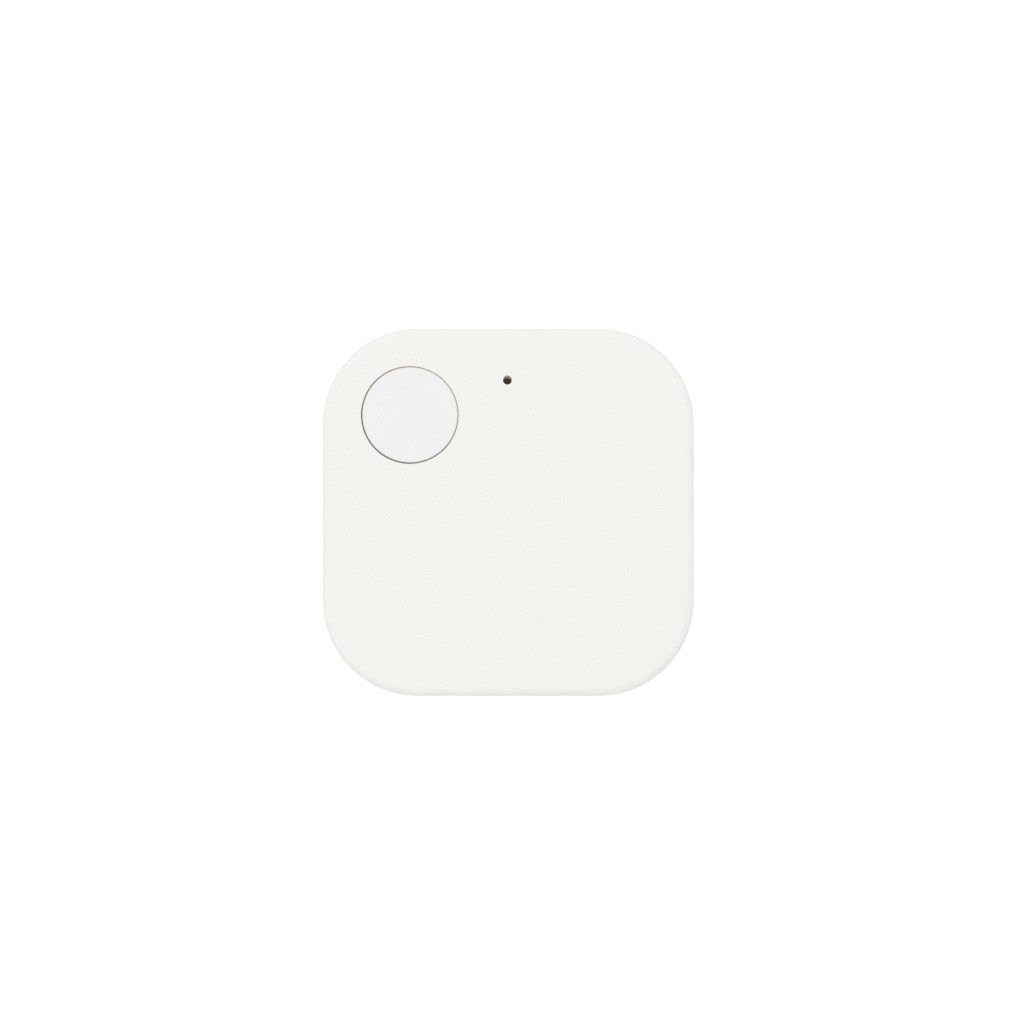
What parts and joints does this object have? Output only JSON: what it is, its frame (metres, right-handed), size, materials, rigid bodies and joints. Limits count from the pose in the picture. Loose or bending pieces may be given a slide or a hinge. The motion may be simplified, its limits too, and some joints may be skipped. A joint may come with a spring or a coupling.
{
  "type": "bluetooth tracker tag",
  "caption": "Small square tracker tag with rounded corners: a two-piece snap case with a round push button, a sound hole, a circuit board, a buzzer and a coin cell.",
  "frame": {"origin": "centre of the rear face, which lies on the floor", "axes": "+X across the tag to the right, +Y towards the end with the button and the sound hole, +Z out of the front face"},
  "size_m": [0.037, 0.0366, 0.0064],
  "materials": {
    "shell_plastic": "matte",
    "button_plastic": "matte",
    "inner_plastic": "satin",
    "mesh_cloth": "matte",
    "foam": "matte",
    "board_laminate": "satin",
    "gold_plate": "satin",
    "black_epoxy": "matte",
    "crystal_can": "satin",
    "capacitor_ceramic": "satin",
    "inductor_ceramic": "satin",
    "led_lens": "gloss",
    "tinned_lead": "satin",
    "spring_steel": "satin",
    "magnet": "satin",
    "coil_copper": "gloss",
    "contact_plate": "satin",
    "cell_steel": "satin",
    "cell_seal": "matte",
    "cell_powder": "matte",
    "cell_paper": "matte",
    "cell_lithium": "satin"
  },
  "bodies": {
    "rear_half": {"rear_shell": "shell_plastic", "circuit_board": "board_laminate", "antenna_trace": "gold_plate", "bluetooth_chip": "black_epoxy", "main_crystal": "crystal_can", "clock_crystal": "crystal_can", "capacitors": "capacitor_ceramic", "resistors": "black_epoxy", "rf_inductors": "inductor_ceramic", "bulk_capacitor": "capacitor_ceramic", "drive_transistor": "black_epoxy", "transistor_leads": "tinned_lead", "flyback_diode": "black_epoxy", "diode_leads": "tinned_lead", "status_led": "led_lens", "switch_base": "black_epoxy", "switch_dome": "spring_steel", "switch_cover": "spring_steel", "switch_terminals": "tinned_lead", "buzzer_base": "inner_plastic", "buzzer_terminals": "tinned_lead", "buzzer_yoke": "spring_steel", "buzzer_coil": "coil_copper", "buzzer_magnet": "magnet", "buzzer_diaphragm": "spring_steel", "buzzer_case": "black_epoxy", "positive_contact": "contact_plate", "negative_contact": "contact_plate"},
    "coin_cell": {"cell_can": "cell_steel", "cell_gasket": "cell_seal", "cell_cap": "cell_steel", "cell_cathode": "cell_powder", "cell_separator": "cell_paper", "cell_anode": "cell_lithium"},
    "front_half": {"front_shell": "shell_plastic", "button_retainer": "inner_plastic", "dust_mesh": "mesh_cloth", "buzzer_gasket": "foam", "cell_pad": "foam"},
    "button": {"button_cap": "button_plastic"},
    "switch_plunger": {"switch_plunger": "inner_plastic"}
  },
  "joints": [
    {"name": "front_shell_open", "type": "hinge", "parent": "rear_half", "child": "front_half", "pos_m": [0, 0.0183, 0.0029], "axis": [-1, 0, 0], "range_deg": [0, 120]},
    {"name": "button_press", "type": "slide", "parent": "front_half", "child": "button", "axis": [0, 0, -1], "range_m": [0, 0.00025], "stiffness_N_per_m": 4800},
    {"name": "switch_press", "type": "slide", "parent": "rear_half", "child": "switch_plunger", "axis": [0, 0, -1], "range_m": [0, 0.00025], "deforming": ["switch_dome"]},
    {"name": "cell_lift", "type": "slide", "parent": "rear_half", "child": "coin_cell", "axis": [0, 0, 1], "range_m": [0, 0.0126]}
  ],
  "couplings": [
    {"joint": "switch_press", "follows": "button_press", "ratio": 1},
    {"joint": "cell_lift", "follows": "front_shell_open", "m_per_rad": 0.006}
  ]
}
